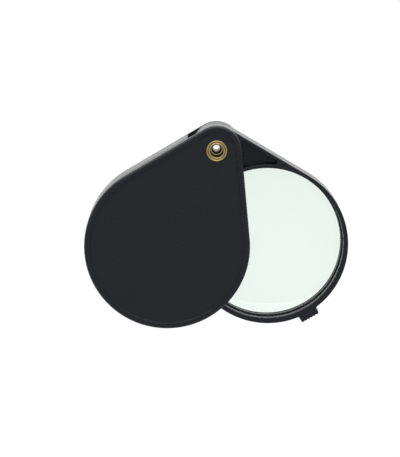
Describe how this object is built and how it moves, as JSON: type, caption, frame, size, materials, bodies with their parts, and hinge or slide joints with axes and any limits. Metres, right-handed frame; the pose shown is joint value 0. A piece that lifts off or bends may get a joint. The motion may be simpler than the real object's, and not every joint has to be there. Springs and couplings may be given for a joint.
{
  "type": "folding pocket magnifier",
  "caption": "Folding pocket magnifier used as a viewing loupe: a teardrop lens holder swings out of a flat teardrop case about a hollow brass eyelet.",
  "frame": {"origin": "on the eyelet's axis, in the plane of the rear cover's raised border, which the loupe rests on", "axes": "+Z along the eyelet from the rear cover to the front cover; +Y away from the round ends, along the line that halves the angle between the case and the half-open holder; +X towards the holder's side"},
  "size_m": [0.0643, 0.0495, 0.012],
  "materials": {
    "case_plastic": "fine satin moulded black",
    "holder_plastic": "fine satin moulded black",
    "lens_acrylic": "polished clear",
    "eyelet_brass": "rolled, lightly tarnished",
    "washer_fibre": "matt fibre"
  },
  "bodies": {
    "case": {"front_cover": "case_plastic", "rear_cover": "case_plastic", "side_wall": "case_plastic", "eyelet_socket": "eyelet_brass", "eyelet_post": "eyelet_brass", "front_friction_washer": "washer_fibre", "rear_friction_washer": "washer_fibre"},
    "holder": {"holder_front": "holder_plastic", "holder_rear": "holder_plastic", "lens": "lens_acrylic"}
  },
  "joints": [
    {"name": "holder_swing", "type": "hinge", "parent": "case", "child": "holder", "pos_m": [0, 0, 0.006], "axis": [0, 0, 1], "range_deg": [-55.6, 132]}
  ]
}
